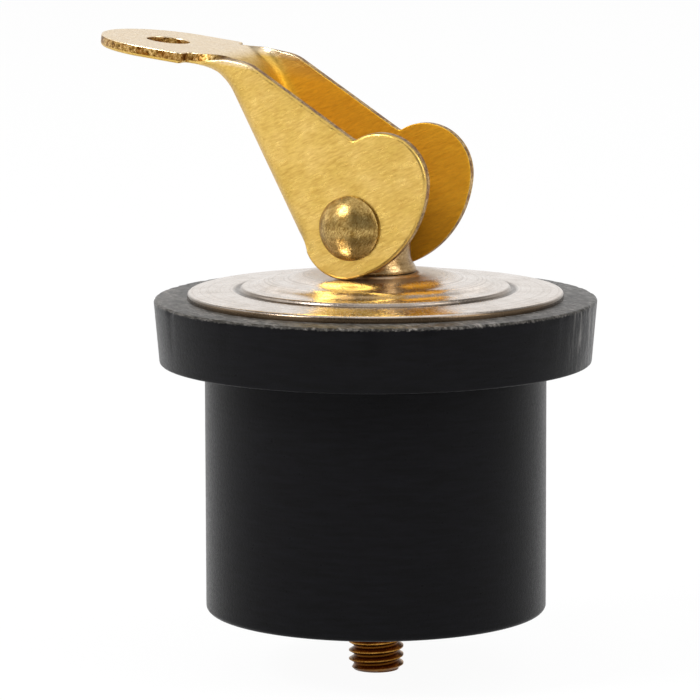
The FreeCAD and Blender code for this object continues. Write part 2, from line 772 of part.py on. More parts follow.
def around_bend(body, section, kind, name):
    """Carry a slice of the lever on round the bend, as solid or as hollow."""
    bend = body.newObject(kind, name)
    bend.Profile = section
    bend.Reversed = True
    bend.ReferenceAxis = (section, ["Axis0"])
    bend.setExpression("Angle", bend_angle.text + " * 1deg")


def make_lever():
    body = new_body("lever", pivot_height)
    side = half("lever_width")
    ears = pad(body, sketch_ears(body), size["lever_width"], "Ears", symmetric=True)
    round_edges(body, ears, "EarRims", size["rim_radius"],
                lambda edge: abs(abs(edge.CenterOfMass.y) - side.number) < NEAR)

    past_rim = size["rim_radius"] + size["fold_overlap"]
    fold_section = sketch_fold(body, "FoldSection", size["web_offset"], side,
                               size["fold_radius"], size["fold_radius"] + past_rim)
    pad(body, fold_section, bend_station - size["web_start"], "Fold", down=True)
    around_bend(body, fold_section, "PartDesign::Revolution", "Bend")

    pad(body, sketch_tab(body), size["lever_sheet"], "Tab", down=True)
    gap = size["lever_width"] - size["lever_sheet"] * 2
    pocket(body, sketch_channel(body), "ChannelCut", gap)
    inner_corner = size["fold_radius"] - size["lever_sheet"]
    hollow_section = sketch_fold(body, "HollowSection", size["web_offset"] - size["lever_sheet"],
                                 gap / 2, inner_corner, inner_corner + size["fold_overlap"])
    pocket(body, hollow_section, "HollowCut", bend_station, symmetric=False)
    around_bend(body, hollow_section, "PartDesign::Groove", "BendHollow")
    pocket(body, sketch_above_tab(body), "AboveTabCut", size["cut_margin"], symmetric=False,
           down=False)

    rivet_hole = new_sketch(body, "XZ_Plane", "RivetHole")
    circle(rivet_hole, 0, 0, half("rivet_diameter") + size["rivet_clearance"])
    pocket(body, rivet_hole, "RivetHoleCut")

    lanyard = tab_sketch(body, "LanyardHole")
    circle(lanyard, -tab_root - size["lanyard_reach"], 0, half("lanyard_diameter"))
    pocket(body, lanyard, "LanyardHoleCut", size["lever_sheet"] * 2)
    return body


bodies = [
    make_rubber_plug(),
    make_anchor_nut(),
    make_pressure_plate(),
    make_eye_bolt(),
    make_pivot_rivet(),
    make_lever(),
]
doc.recompute()

# Checks and files

failed = [item.Name for item in doc.Objects
          if "Invalid" in item.State or "Error" in item.State]
if failed:
    raise RuntimeError("failed objects: " + ", ".join(failed))

os.makedirs("parts", exist_ok=True)
for body in bodies:
    shape = body.Shape
    if shape.isNull() or not shape.isValid() or len(shape.Solids) != 1:
        raise RuntimeError("bad shape: " + body.Label)
for body in bodies:
    box = body.Shape.BoundBox
    print("{:15s} volume {:9.2f} mm3  x {:7.2f} {:7.2f}  y {:7.2f} {:7.2f}  z {:7.2f} {:7.2f}".format(
        body.Label, body.Shape.Volume, box.XMin, box.XMax, box.YMin, box.YMax, box.ZMin, box.ZMax))
    body.Shape.exportStep("parts/{}.step".format(body.Label))
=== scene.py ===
# %% [markdown]
# # An expanding drain plug, dressed for its photograph
#
# The plug is a rubber top hat with a bolt down its middle. Folding the brass lever over pulls
# the bolt up, the nut at its lower end squeezes the rubber, and the barrel swells and seals the
# drain tube of a boat. The exact solids were drawn elsewhere; here they get the surfaces that
# brass, plated steel and rubber have, and the pieces whose looks need more than the solids.
#
# Every object is in metres, in the frame of the solids: Z up the barrel, Y along the rivet.

# %% Load the solids
import math

import bmesh
import bpy
from mathutils import Matrix, Vector, noise


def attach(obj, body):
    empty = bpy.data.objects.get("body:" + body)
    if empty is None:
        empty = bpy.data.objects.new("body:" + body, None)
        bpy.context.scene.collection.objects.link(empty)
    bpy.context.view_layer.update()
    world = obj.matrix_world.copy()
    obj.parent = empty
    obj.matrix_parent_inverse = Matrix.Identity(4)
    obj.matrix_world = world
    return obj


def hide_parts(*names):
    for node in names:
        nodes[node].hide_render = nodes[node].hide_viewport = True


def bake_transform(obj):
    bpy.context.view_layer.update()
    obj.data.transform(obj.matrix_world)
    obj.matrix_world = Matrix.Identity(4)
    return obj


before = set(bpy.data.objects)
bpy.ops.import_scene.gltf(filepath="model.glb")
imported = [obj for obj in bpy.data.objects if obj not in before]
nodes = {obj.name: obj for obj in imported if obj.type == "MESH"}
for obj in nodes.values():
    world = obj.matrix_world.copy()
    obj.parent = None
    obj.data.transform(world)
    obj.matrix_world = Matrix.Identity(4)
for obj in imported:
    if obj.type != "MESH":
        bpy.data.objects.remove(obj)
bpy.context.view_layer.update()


MM = 0.001
MERGED = 0.001 * MM
print("solids:", ", ".join(sorted(nodes)))

# %% [markdown]
# ## Sizes
#
# The pieces made here sit where their solids are, so a few sizes of the solids come first, in
# millimetres. The pivot is the rivet's axis, which everything on the lever is measured from, and
# the outer faces of the lever's ears stand at EAR_Y on both sides of it.

# %% Sizes of the solids, in millimetres
FLANGE_TOP = 5.8
BARREL_BOTTOM = -22.8
PIVOT_HEIGHT = 12.689
EAR_Y = 5.5


def mm(*values):
    """Millimetres to a vector in metres."""
    return Vector(values) * MM


pivot = mm(0, 0, PIVOT_HEIGHT)
print("pivot at", tuple(round(value, 5) for value in pivot))

# %% [markdown]
# ## A pen and a lathe
#
# Outlines are drawn like a pen line: straight runs and arcs from one corner to the next. Each
# arc is the last vertex spun about the arc's centre, so the corners stay exact and the curve is
# as fine as it needs to be. A turned piece is half of its section, swept round an axis.

# %% Pen and lathe
ARC_STEP = 0.12


def pen_line(bm, vertex, place):
    """Draw a straight run from a vertex to a place."""
    new = bmesh.ops.extrude_vert_indiv(bm, verts=[vertex])["verts"][0]
    new.co = place
    return new


def pen_arc(bm, vertex, centre, place, axis=(0, 1, 0)):
    """Draw the shorter arc about a centre from a vertex to a place."""
    axis = Vector(axis)
    start_arm, end_arm = vertex.co - centre, place - centre
    turn = math.atan2(start_arm.cross(end_arm).dot(axis), start_arm.dot(end_arm))
    steps = max(2, round(abs(turn) * end_arm.length / MM / ARC_STEP))
    swept = bmesh.ops.spin(bm, geom=[vertex], cent=centre, axis=axis, angle=turn, steps=steps)
    last = next(item for item in swept["geom_last"] if isinstance(item, bmesh.types.BMVert))
    last.co = place
    return last


def draw(start, moves):
    """A bmesh with half a section in it; a move is a corner, or an arc's centre and a corner."""
    bm = bmesh.new()
    vertex = bm.verts.new(mm(start[0], 0, start[1]))
    for move in moves:
        if isinstance(move[0], tuple):
            (centre_r, centre_z), (r, z) = move
            vertex = pen_arc(bm, vertex, mm(centre_r, 0, centre_z), mm(r, 0, z))
        else:
            vertex = pen_line(bm, vertex, mm(move[0], 0, move[1]))
    return bm


def turn_round(bm, steps):
    """Sweep everything drawn in a bmesh round the Z axis into a closed turned solid."""
    bmesh.ops.spin(bm, geom=bm.verts[:] + bm.edges[:], cent=(0, 0, 0), axis=(0, 0, 1),
                   angle=math.tau, steps=steps, use_merge=True)
    bmesh.ops.remove_doubles(bm, verts=bm.verts[:], dist=MERGED)
    bmesh.ops.recalc_face_normals(bm, faces=bm.faces[:])
    return bm


SMOOTH_UNDER = math.radians(35)


def hand_over(bm, name, body, slot, *stands_for):
    """Make the finished piece an object on its body, if it has one, that stands for its solids."""
    open_edges = sum(len(edge.link_faces) != 2 for edge in bm.edges)
    for face in bm.faces:
        face.smooth = True
    for edge in bm.edges:
        if edge.calc_face_angle(0) > SMOOTH_UNDER:
            edge.smooth = False
    mesh = bpy.data.meshes.new(name)
    bm.to_mesh(mesh)
    bm.free()
    piece = bpy.data.objects.new(name, mesh)
    bpy.context.scene.collection.objects.link(piece)
    if body:
        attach(piece, body)
    if stands_for:
        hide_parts(*stands_for)
    print(f"{name}: {len(mesh.polygons)} faces, {open_edges} open edges")
    return piece


# %% [markdown]
# ## Rubber plug
#
# The real plug is moulded in one piece: a straight barrel under a thick flange whose side leans out
# a little, so that it leaves the mould. Its top was trimmed with a blade, so the top edge is crisp
# but nicked. It is lathed with a round socket for the nut, and the socket's vertices are then
# pushed out to a hexagon: with 240 steps a turn, 40 of them fall on each side and one on each
# corner. When the nut is pulled up, the rubber round it goes with it and the rubber between the nut
# and the plate is squeezed.

# %% Rubber plug
FLANGE_BOTTOM_R = 19.6
FLANGE_TOP_R = 20.067
BARREL_R = 15.5
BORE_R = 2.8
RECESS_R = 7.6
RECESS_TOP = -21.5
SOCKET_TOP = -13.5
SOCKET_FLATS = 8.2
TURN_STEPS = 240

TOP_EDGE, SEAT_EDGE, BARREL_EDGE = 0.25, 0.2, 0.5
NICK_WIDTH, NICK_DEPTH, NICKS_OVER = 0.9, 0.5, 0.15
EDGE_R, EDGE_Z = BARREL_R - BARREL_EDGE, BARREL_BOTTOM + BARREL_EDGE
NICK_FOOT = FLANGE_TOP - 3 * TOP_EDGE
nick_foot_r = FLANGE_BOTTOM_R + ((FLANGE_TOP_R - FLANGE_BOTTOM_R) * (NICK_FOOT - SEAT_EDGE)
                                 / (FLANGE_TOP - TOP_EDGE - SEAT_EDGE))


def per_mm(width):
    """A noise scale, in turns per metre, whose grains are about this many millimetres wide."""
    return 1 / (width * MM)


bm = draw((BORE_R, SOCKET_TOP), [
    (SOCKET_FLATS / 2, SOCKET_TOP),
    (SOCKET_FLATS / 2, RECESS_TOP),
    (RECESS_R, RECESS_TOP),
    (RECESS_R, BARREL_BOTTOM),
    (EDGE_R, BARREL_BOTTOM),
    ((EDGE_R, EDGE_Z), (BARREL_R, EDGE_Z)),
    (BARREL_R, 0),
    (FLANGE_BOTTOM_R - SEAT_EDGE, 0),
    ((FLANGE_BOTTOM_R - SEAT_EDGE, SEAT_EDGE), (FLANGE_BOTTOM_R, SEAT_EDGE)),
    (nick_foot_r, NICK_FOOT),
    (FLANGE_TOP_R, FLANGE_TOP - TOP_EDGE),
    ((FLANGE_TOP_R - TOP_EDGE, FLANGE_TOP - TOP_EDGE), (FLANGE_TOP_R - TOP_EDGE, FLANGE_TOP)),
    (BORE_R, FLANGE_TOP),
    (BORE_R, SOCKET_TOP),
])
turn_round(bm, TURN_STEPS)
for vert in bm.verts:
    radius = math.hypot(vert.co.x, vert.co.y)
    on_socket = abs(radius - SOCKET_FLATS / 2 * MM) < 10 * MERGED
    near_top = vert.co.z > (FLANGE_TOP - 2 * TOP_EDGE) * MM
    near_side = radius > (FLANGE_TOP_R - 2 * TOP_EDGE) * MM
    if on_socket:
        from_flat = math.atan2(vert.co.y, vert.co.x) % (math.pi / 3) - math.pi / 6
        vert.co.xy *= 1 / math.cos(from_flat)
    elif near_top and near_side:
        nick = max(0.0, noise.noise(vert.co * per_mm(NICK_WIDTH)) - NICKS_OVER) * NICK_DEPTH
        vert.co.xy *= 1 - nick / FLANGE_TOP_R
rubber = hand_over(bm, "moulded_plug", None, "plug_rubber", "rubber_plug")

# %% [markdown]
# ## Pressure plate
#
# A disc pressed from steel sheet, on which the cams of the lever ride: a low hub, a level track,
# a dome that falls from it in two soft waves, a groove, and a band that droops a little to its
# rolled edge. The solid has straight risers. The piece is lathed with arcs that meet without a
# corner, because plating shows every change of slope.

# %% Pressure plate
PLATE_R = 17.05
PLATE_BORE_R = 2.75
PLATE_ROLL = 0.35
HUB_R, TRACK_IN_R, TRACK_OUT_R, DOME_R = 3.75, 4.4, 6.2, 11.7
SHOULDER_IN_R, SHOULDER_OUT_R, SHOULDER_TOP = 8.9, 9.3, 7.52
RIDGE_R, GROOVE_R, BAND_R = 11.95, 12.5, 13.0
HUB_TOP, TRACK_TOP, DOME_FOOT, GROOVE_TOP = 8.2, 7.95, 6.93, 6.52
BAND_TOP, BAND_DROOP = 6.62, 0.17
SHEET_BELOW = 0.75


def soft_step(start_r, start_z, end_r, end_z):
    """The pen's moves for an S of two equal arcs between two level runs."""
    run, fall = (end_r - start_r) / 2, (start_z - end_z) / 2
    radius = (run ** 2 + fall ** 2) / (2 * fall)
    return [((start_r, start_z - radius), (start_r + run, start_z - fall)),
            ((end_r, end_z + radius), (end_r, end_z))]


roll_r = PLATE_R - PLATE_ROLL
band_end = BAND_TOP - BAND_DROOP
droop_radius = ((roll_r - BAND_R) ** 2 + BAND_DROOP ** 2) / (2 * BAND_DROOP)
bm = draw((PLATE_BORE_R, HUB_TOP), [
    (HUB_R, HUB_TOP),
    *soft_step(HUB_R, HUB_TOP, TRACK_IN_R, TRACK_TOP),
    (TRACK_OUT_R, TRACK_TOP),
    *soft_step(TRACK_OUT_R, TRACK_TOP, SHOULDER_IN_R, SHOULDER_TOP),
    (SHOULDER_OUT_R, SHOULDER_TOP),
    *soft_step(SHOULDER_OUT_R, SHOULDER_TOP, DOME_R, DOME_FOOT),
    (RIDGE_R, DOME_FOOT),
    *soft_step(RIDGE_R, DOME_FOOT, GROOVE_R, GROOVE_TOP),
    *soft_step(GROOVE_R, GROOVE_TOP, BAND_R, BAND_TOP),
    ((BAND_R, BAND_TOP - droop_radius), (roll_r, band_end)),
    ((roll_r, band_end - PLATE_ROLL), (PLATE_R, band_end - PLATE_ROLL)),
    (PLATE_R, FLANGE_TOP),
    (GROOVE_R, FLANGE_TOP),
    (DOME_R, DOME_FOOT - SHEET_BELOW),
    (TRACK_OUT_R, TRACK_TOP - SHEET_BELOW),
    (PLATE_BORE_R, HUB_TOP - SHEET_BELOW),
    (PLATE_BORE_R, HUB_TOP),
])
turn_round(bm, TURN_STEPS)
plate = hand_over(bm, "pressed_plate", "plug", "plated_steel", "pressure_plate")

# %% [markdown]
# ## Eye bolt
#
# One brass bolt: a post with a rounded eye between the lever's ears, a flared foot that sits on
# the plate, a plain shank in the rubber, and a thread at its lower end. The plain part is
# lathed. A thread is a section of one turn swept round while it climbs one pitch a turn: the
# vertices of each turn then fall on those of the next, and merging them closes the helix. The
# crests near the tip are then pulled in to a cone, the lead on which the nut starts.

# %% Post, foot and shank
POST_R = 3.2
FOOT_R = 3.7
FOOT_BOTTOM = 8.25
FOOT_LIP = 0.3
FOOT_ROUND = 0.1
FLARE = 1.0
FLARE_BEND, FLARE_BEND_R = 0.35, POST_R + 0.12
SHANK_R = 2.5
THREAD_TOP = -14.0
THREAD_CORE_R = 2.05
STUD_TIP = BARREL_BOTTOM - 5.65
POST_STEPS = 160

bm = draw((0, THREAD_TOP), [
    (SHANK_R, THREAD_TOP),
    (SHANK_R, FOOT_BOTTOM),
    (FOOT_R - FOOT_ROUND, FOOT_BOTTOM),
    ((FOOT_R - FOOT_ROUND, FOOT_BOTTOM + FOOT_ROUND), (FOOT_R, FOOT_BOTTOM + FOOT_ROUND)),
    (FOOT_R, FOOT_BOTTOM + FOOT_LIP),
    (FLARE_BEND_R, FOOT_BOTTOM + FOOT_LIP + FLARE - FLARE_BEND),
    (POST_R, FOOT_BOTTOM + FOOT_LIP + FLARE),
    (POST_R, PIVOT_HEIGHT),
    ((0, PIVOT_HEIGHT), (0, PIVOT_HEIGHT + POST_R)),
])
turn_round(bm, POST_STEPS)
post = hand_over(bm, "bolt_post", "stem", "turned_brass", "eye_bolt")

# %% Thread
PITCH = 0.8
THREAD_STEPS = 96
CREST, ROOT = 0.1, 0.14


def thread_turn(z):
    """The corners of one turn of thread, from root to root."""
    flank = (PITCH - CREST - ROOT) / 2
    return [(THREAD_CORE_R, z), (THREAD_CORE_R, z + ROOT), (SHANK_R, z + ROOT + flank),
            (SHANK_R, z + ROOT + flank + CREST)]


turns = math.ceil((THREAD_TOP - STUD_TIP) / PITCH) + 1
corners = [corner for turn in range(turns)
           for corner in thread_turn(STUD_TIP - PITCH + turn * PITCH)]
bm = draw(corners[0], corners[1:])
bmesh.ops.spin(bm, geom=bm.verts[:] + bm.edges[:], cent=(0, 0, 0), axis=(0, 0, 1),
               dvec=(0, 0, PITCH * MM / THREAD_STEPS), angle=math.tau, steps=THREAD_STEPS)
bmesh.ops.remove_doubles(bm, verts=bm.verts[:], dist=2 * MERGED)
for height, outward in ((THREAD_TOP, 1), (STUD_TIP, -1)):
    cut = bmesh.ops.bisect_plane(bm, geom=bm.verts[:] + bm.edges[:] + bm.faces[:],
                                 dist=MERGED / 10, plane_co=mm(0, 0, height),
                                 plane_no=(0, 0, outward), clear_outer=True)
    rim = [item for item in cut["geom_cut"] if isinstance(item, bmesh.types.BMEdge)]
    bmesh.ops.edgeloop_fill(bm, edges=rim)
bmesh.ops.recalc_face_normals(bm, faces=bm.faces[:])
for vert in bm.verts:
    cone_r = THREAD_CORE_R * MM + vert.co.z - STUD_TIP * MM
    radius = math.hypot(vert.co.x, vert.co.y)
    if radius > cone_r:
        vert.co.xy *= cone_r / radius
thread = hand_over(bm, "stud_thread", "stem", "turned_brass")

# %% [markdown]
# ## Rivet
#
# A plain rivet with a domed head on the near side and a flatter closed head on the far side.
# Both are lathed about the rivet's own axis.

# %% Rivet
RIVET_R = 1.5
HEAD_R = 2.9
HEAD_EDGE = 0.3
NEAR_RISE, FAR_RISE = 1.6, 1.3
RIVET_STEPS = 128


def dome_centre(rise):
    """Height of the centre of a dome over the head's upright edge, below zero when inside."""
    return (rise ** 2 - HEAD_R ** 2) / (2 * rise)


near_dome = NEAR_RISE - HEAD_EDGE
far_dome = FAR_RISE - HEAD_EDGE
bm = draw((0, -(EAR_Y + NEAR_RISE)), [
    ((0, -(EAR_Y + HEAD_EDGE + dome_centre(near_dome))), (HEAD_R, -(EAR_Y + HEAD_EDGE))),
    (HEAD_R, -EAR_Y),
    (RIVET_R, -EAR_Y),
    (RIVET_R, EAR_Y),
    (HEAD_R, EAR_Y),
    (HEAD_R, EAR_Y + HEAD_EDGE),
    ((0, EAR_Y + HEAD_EDGE + dome_centre(far_dome)), (0, EAR_Y + FAR_RISE)),
])
turn_round(bm, RIVET_STEPS)
lay_down = Matrix.Translation(pivot) @ Matrix.Rotation(math.radians(-90), 4, "X")
bmesh.ops.transform(bm, matrix=lay_down, verts=bm.verts[:])
rivet = hand_over(bm, "domed_rivet", "lever", "turned_brass", "pivot_rivet")

# %% [markdown]
# ## Lever
#
# The lever is punched from one millimetre of brass sheet and folded: two ears are folded up
# from a web, and the web's upper end is bent over into the tab. It is drawn the same way. Only
# the outer skin of the near half is drawn, as a strip for the web and the bend with two flat
# panels joined to it, one for the ear and one for the tab. Then it is mirrored and thickened
# inwards by the sheet's thickness. The thickening makes the punched edge, which is rough and
# brown on the real lever, so those faces get a finish of their own.

# %% Side view of the lever, in millimetres from the pivot
SHEET = 1.0
LEAN, TAB_SLOPE, FREE_SLOPE = (math.radians(angle) for angle in (27.8, 7.1, 32.2))
WEB_OFFSET, WEB_START, BACK_OFFSET = 5.4, 2.5, 4.97
FOLD_R, BEND_R = 2.0, 5.0
TAB_HEIGHT, FREE_OFFSET = 13.1, 6.78
HEEL, LOBE, LOBE_R = Vector((-0.74, -0.70)), Vector((2.94, 4.21)), 4.46
FLANK_R, NOTCH_R, HUMP_R = 9.55, 0.6, 4.0

inward = Vector((math.cos(LEAN), math.sin(LEAN)))
along = Vector((-math.sin(LEAN), math.cos(LEAN)))
tab_up = Vector((math.sin(TAB_SLOPE), math.cos(TAB_SLOPE)))
tab_out = Vector((-math.cos(TAB_SLOPE), math.sin(TAB_SLOPE)))
free_up = Vector((math.sin(FREE_SLOPE), math.cos(FREE_SLOPE)))
free_out = Vector((-math.cos(FREE_SLOPE), math.sin(FREE_SLOPE)))
bend_turn = math.pi / 2 - TAB_SLOPE - LEAN
axis_offset = WEB_OFFSET + BEND_R
bend_start = ((TAB_HEIGHT - SHEET - BEND_R + axis_offset * math.cos(bend_turn))
              / math.sin(bend_turn))
bend_centre = along * bend_start - inward * axis_offset
heel_r = BACK_OFFSET + HEEL.dot(inward)
print("bend starts", round(bend_start, 3), "mm up the web and turns",
      round(math.degrees(bend_turn), 1), "degrees")


def beside(point, y):
    """A point of the lever's side view, at a height across the lever, in the frame."""
    return mm(point.x, y, point.y + PIVOT_HEIGHT)


# %% [markdown]
# The strip starts as a flat grid, like the blank. Each row of the grid is one station on the
# way up the web and round the bend. Across a row, the strip runs flat from the middle and then
# curves up into the ear. Near the tab the ear gets lower than the fold, so the curve ends
# before it is upright, and the punched edge twists from facing up to facing sideways. Below the
# web, a second small grid carries the fold on as a run-out: its arc gets flatter and flatter
# until it lies in the ear, and its free edge crosses the fold at a slant. The columns are wider
# than the rounding that the edges get later, or the rounding would fold over itself.

# %% Strip for the web and the bend
WEB_ROWS, EAR_ROWS, TWIST_ROWS, RUN_OUT_ROWS = 10, 10, 14, 8
COLUMNS, FOLD_COLUMNS = 11, 5
RUN_OUT = 2.6
twist = math.acos((BEND_R + SHEET) / (BEND_R + FOLD_R))


def station(row):
    """How far up the web, and how far round the bend, a row of the strip is."""
    if row <= WEB_ROWS:
        return WEB_START + (bend_start - WEB_START) * row / WEB_ROWS, 0.0
    row -= WEB_ROWS
    if row <= EAR_ROWS:
        return bend_start, (bend_turn - twist) * row / EAR_ROWS
    return bend_start, bend_turn - twist * (1 - (row - EAR_ROWS) / TWIST_ROWS)


def skin_point(row, share):
    """Where the strip's outer skin is, at a share of the way from its middle to its side."""
    up, turned = station(row)
    to_root = bend_turn - turned
    curl = math.pi / 2
    if to_root < twist:
        height = (BEND_R + SHEET) / math.cos(to_root) - BEND_R
        curl = math.acos(min(1.0, (FOLD_R - height) / (FOLD_R - SHEET)))
    side = EAR_Y - SHEET / 2 * (1 - math.sin(curl))
    flat = side - FOLD_R * math.sin(curl)
    way = share * (flat + FOLD_R * curl)
    bent = max(0.0, way - flat) / FOLD_R
    y = min(way, flat) + FOLD_R * math.sin(bent)
    facing = Vector((math.cos(LEAN + turned), math.sin(LEAN + turned)))
    if turned:
        middle = bend_centre + facing * BEND_R
    else:
        middle = along * up - inward * WEB_OFFSET
    return beside(middle + facing * FOLD_R * (1 - math.cos(bent)), -y)


def run_out_point(row, column):
    """Where the run-out's skin is: row 0 lies in the ear, and the last row joins the strip."""
    if row == RUN_OUT_ROWS:
        return skin_point(0, (COLUMNS - FOLD_COLUMNS + column) / COLUMNS)
    fade = 1 - row / RUN_OUT_ROWS
    inset = FOLD_R * (1 - fade)
    reach = FOLD_R - (WEB_OFFSET - BACK_OFFSET) * fade ** 2 * (3 - 2 * fade)
    up = WEB_START - RUN_OUT * fade
    share = 1 - column / FOLD_COLUMNS
    if row == 0:
        out, depth = 0.0, reach * share
    else:
        radius = (inset ** 2 + reach ** 2) / (2 * inset)
        bent = 2 * math.atan(inset / reach) * share
        out, depth = radius * (1 - math.cos(bent)), radius * math.sin(bent)
    return beside(along * up - inward * (WEB_OFFSET - FOLD_R + depth), out - EAR_Y)


def shaped_grid(bm, columns, rows, point):
    """A grid with every vertex put in place by a function of its row and column."""
    verts = bmesh.ops.create_grid(bm, x_segments=columns, y_segments=rows, size=1.0)["verts"]
    found = {(round((vert.co.y + 1) / 2 * rows), round((vert.co.x + 1) / 2 * columns)): vert
             for vert in verts}
    for (row, column), vert in found.items():
        vert.co = point(row, column)
    return found


rows = WEB_ROWS + EAR_ROWS + TWIST_ROWS
bm = bmesh.new()
run_out = shaped_grid(bm, FOLD_COLUMNS, RUN_OUT_ROWS, run_out_point)
strip = shaped_grid(bm, COLUMNS, rows, lambda row, column: skin_point(row, column / COLUMNS))
shared = [(run_out.pop((RUN_OUT_ROWS, column)), (0, COLUMNS - FOLD_COLUMNS + column))
          for column in range(FOLD_COLUMNS + 1)]
bmesh.ops.weld_verts(bm, targetmap={vert: strip[key] for vert, key in shared})
ear_joint = [run_out[0, column] for column in range(FOLD_COLUMNS)]
ear_joint += [run_out[row, FOLD_COLUMNS] for row in range(RUN_OUT_ROWS)]
ear_joint += [strip[row, COLUMNS] for row in range(WEB_ROWS + EAR_ROWS + 1)]
root_row = [strip[rows, column] for column in range(COLUMNS + 1)]
print("strip and run-out:", len(bm.faces), "faces")

# %% [markdown]
# The ear's panel goes on from the strip's side: along the tab's height, over the hump, down
# the free edge to the notch, round the cam lobe, the flank and the heel, and up the back.

# %% Panel for the ear
RIVET_GAP, RIVET_HOLE_STEPS = 0.05, 48


def crossing(direction_one, reach_one, direction_two, reach_two):
    """The point at two given reaches along two directions."""
    cross = direction_one.cross(direction_two)
    return Vector((reach_one * direction_two.y - reach_two * direction_one.y,
                   direction_one.x * reach_two - direction_two.x * reach_one)) / cross


def centre_between(one, reach_one, other, reach_other):
    """The point at given distances from two others, on the left of the way between them."""
    way = (other - one).normalized()
    span = (other - one).length
    run = (reach_one ** 2 - reach_other ** 2 + span ** 2) / (2 * span)
    return one + way * run + Vector((-way.y, way.x)) * math.sqrt(reach_one ** 2 - run ** 2)


def from_to(start, end, reach):
    """The point at a reach from a start towards an end."""
    return start + (end - start).normalized() * reach


flank = centre_between(HEEL, FLANK_R - heel_r, LOBE, FLANK_R - LOBE_R)
notch_rise = FREE_OFFSET + NOTCH_R - LOBE.dot(free_up)
notch_run = math.sqrt((LOBE_R + NOTCH_R) ** 2 - notch_rise ** 2)
notch = LOBE + free_up * notch_rise + free_out * notch_run
hump = crossing(free_up, FREE_OFFSET - HUMP_R, tab_up, TAB_HEIGHT - HUMP_R)
outline = [
    hump + tab_up * HUMP_R,
    (hump, hump + free_up * HUMP_R),
    notch - free_up * NOTCH_R,
    (notch, from_to(notch, LOBE, NOTCH_R)),
    (LOBE, from_to(flank, LOBE, FLANK_R)),
    (flank, from_to(flank, HEEL, FLANK_R)),
    (HEEL, HEEL - inward * heel_r),
]


def fill_panel(bm, joint):
    """Fill the outline drawn between the ends of a joint with a flat panel."""
    edges = [edge for edge in bm.edges if not edge.link_faces]
    edges += [bm.edges.get(pair) for pair in zip(joint, joint[1:])]
    filled = bmesh.ops.triangle_fill(bm, edges=edges, use_beauty=True)["geom"]
    return [item for item in filled if isinstance(item, bmesh.types.BMFace)]


vert = ear_joint[-1]
for move in outline:
    if isinstance(move, tuple):
        if move[0] is LOBE:
            halfway = LOBE + Vector((LOBE_R, 0))
            vert = pen_arc(bm, vert, beside(LOBE, -EAR_Y), beside(halfway, -EAR_Y))
        vert = pen_arc(bm, vert, beside(move[0], -EAR_Y), beside(move[1], -EAR_Y))
    else:
        vert = pen_line(bm, vert, beside(move, -EAR_Y))
bm.edges.new((vert, ear_joint[0]))
on_ear = Matrix.Translation(pivot - mm(0, EAR_Y, 0)) @ Matrix.Rotation(math.pi / 2, 4, "X")
bmesh.ops.create_circle(bm, segments=RIVET_HOLE_STEPS, radius=(RIVET_R + RIVET_GAP) * MM,
                        matrix=on_ear)
print("ear:", len(fill_panel(bm, ear_joint)), "faces")

# %% Panel for the tab
TAB_R = 6.5
SHOULDER_R = 0.4
TAB_REACH, LANYARD_REACH, LANYARD_R = 4.6, 5.0, 2.0
root = bend_centre + tab_up * BEND_R
tab_axis = Vector((tab_up.x, 0, tab_up.y))


def on_tab(reach, y):
    """A place on the tab's underside, by how far it is from the bend."""
    return beside(root + tab_out * reach, y)


shoulder_y = -root_row[-1].co.y / MM + SHOULDER_R
vert = pen_arc(bm, root_row[-1], on_tab(0, -shoulder_y), on_tab(SHOULDER_R, -shoulder_y), tab_axis)
vert = pen_line(bm, vert, on_tab(SHOULDER_R, SHOULDER_R - TAB_R))
vert = pen_arc(bm, vert, on_tab(2 * SHOULDER_R, SHOULDER_R - TAB_R), on_tab(2 * SHOULDER_R, -TAB_R),
               tab_axis)
vert = pen_line(bm, vert, on_tab(TAB_REACH, -TAB_R))
vert = pen_arc(bm, vert, on_tab(TAB_REACH, 0), on_tab(TAB_REACH + TAB_R, 0), tab_axis)
vert = pen_line(bm, vert, on_tab(LANYARD_REACH + LANYARD_R, 0))
vert = pen_arc(bm, vert, on_tab(LANYARD_REACH, 0), on_tab(LANYARD_REACH, -LANYARD_R), tab_axis)
vert = pen_arc(bm, vert, on_tab(LANYARD_REACH, 0), on_tab(LANYARD_REACH - LANYARD_R, 0), tab_axis)
bm.edges.new((vert, root_row[0]))
print("tab:", len(fill_panel(bm, root_row)), "faces")

# %% [markdown]
# The half is mirrored, thickened, and its edges are rounded: the outer ones as the punch draws
# them in, the inner ones by tumbling. The line where a rounded edge starts is marked sharp, so
# that the flat panels stay flat in their shading.

# %% Mirror, thicken and round
DRAWN_IN, TUMBLED = 0.26, 0.07

bmesh.ops.mirror(bm, geom=bm.verts[:] + bm.edges[:] + bm.faces[:], axis="Y", merge_dist=MERGED)
bmesh.ops.remove_doubles(bm, verts=bm.verts[:], dist=MERGED)
bmesh.ops.recalc_face_normals(bm, faces=bm.faces[:])
near_ear = max(bm.faces, key=lambda face: abs(face.normal.y) - face.calc_center_median().y)
if near_ear.normal.y > 0:
    bmesh.ops.reverse_faces(bm, faces=bm.faces[:])
skin_verts = set(bm.verts)
bmesh.ops.solidify(bm, geom=bm.faces[:], thickness=SHEET * MM)
bm.normal_update()
rim = {face for face in bm.faces
       if 0 < sum(vert in skin_verts for vert in face.verts) < len(face.verts)}
for face in rim:
    face.material_index = 1
corners = [edge for edge in bm.edges if sum(face in rim for face in edge.link_faces) == 1]
outer = [edge for edge in corners if skin_verts.issuperset(edge.verts)]
inner = [edge for edge in corners if not skin_verts.issuperset(edge.verts)]
print("punched edge:", len(rim), "faces, and the lever has", round(bm.calc_volume() / MM ** 3, 1),
      "cubic millimetres")
